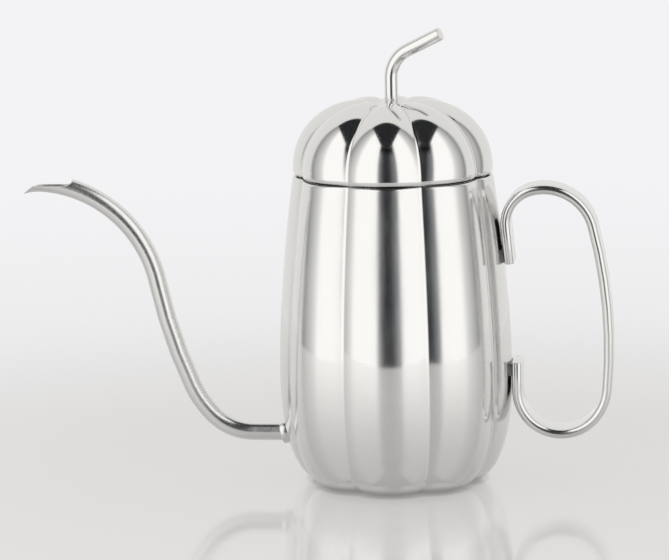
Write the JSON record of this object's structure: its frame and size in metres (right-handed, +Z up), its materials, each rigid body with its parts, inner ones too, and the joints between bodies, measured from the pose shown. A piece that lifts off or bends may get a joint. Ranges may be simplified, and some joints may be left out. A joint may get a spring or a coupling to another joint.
{
  "type": "gooseneck kettle",
  "caption": "Gooseneck pour-over kettle with a pumpkin-lobed steel body, slim tube spout, bent flat-bar handle and a lift-off lobed lid with a bent stem.",
  "frame": {"origin": "centre of the foot, on the surface that the kettle stands on", "axes": "+Z up, spout towards -X, handle towards +X, both in the XZ plane"},
  "size_m": [0.2562, 0.1012, 0.1977],
  "materials": {
    "polished_steel": "mirror-polished stainless steel",
    "inner_steel": "plain rolled stainless steel",
    "base_steel": "turned stainless steel"
  },
  "bodies": {
    "kettle": {"body_shell": "polished_steel", "base_plate": "base_steel", "mouth_ring": "inner_steel", "spout_tube": "polished_steel", "spout_collar": "polished_steel", "handle_bar": "polished_steel", "upper_handle_pad": "polished_steel", "lower_handle_pad": "polished_steel"},
    "lid": {"lid_dome": "polished_steel", "lid_plug": "inner_steel", "lid_stem": "polished_steel", "stem_washer": "polished_steel", "inner_washer": "inner_steel", "fixing_screw": "inner_steel"}
  },
  "joints": [
    {"name": "lid_lift", "type": "slide", "parent": "kettle", "child": "lid", "axis": [0, 0, 1], "range_m": [0, 0.06]}
  ]
}
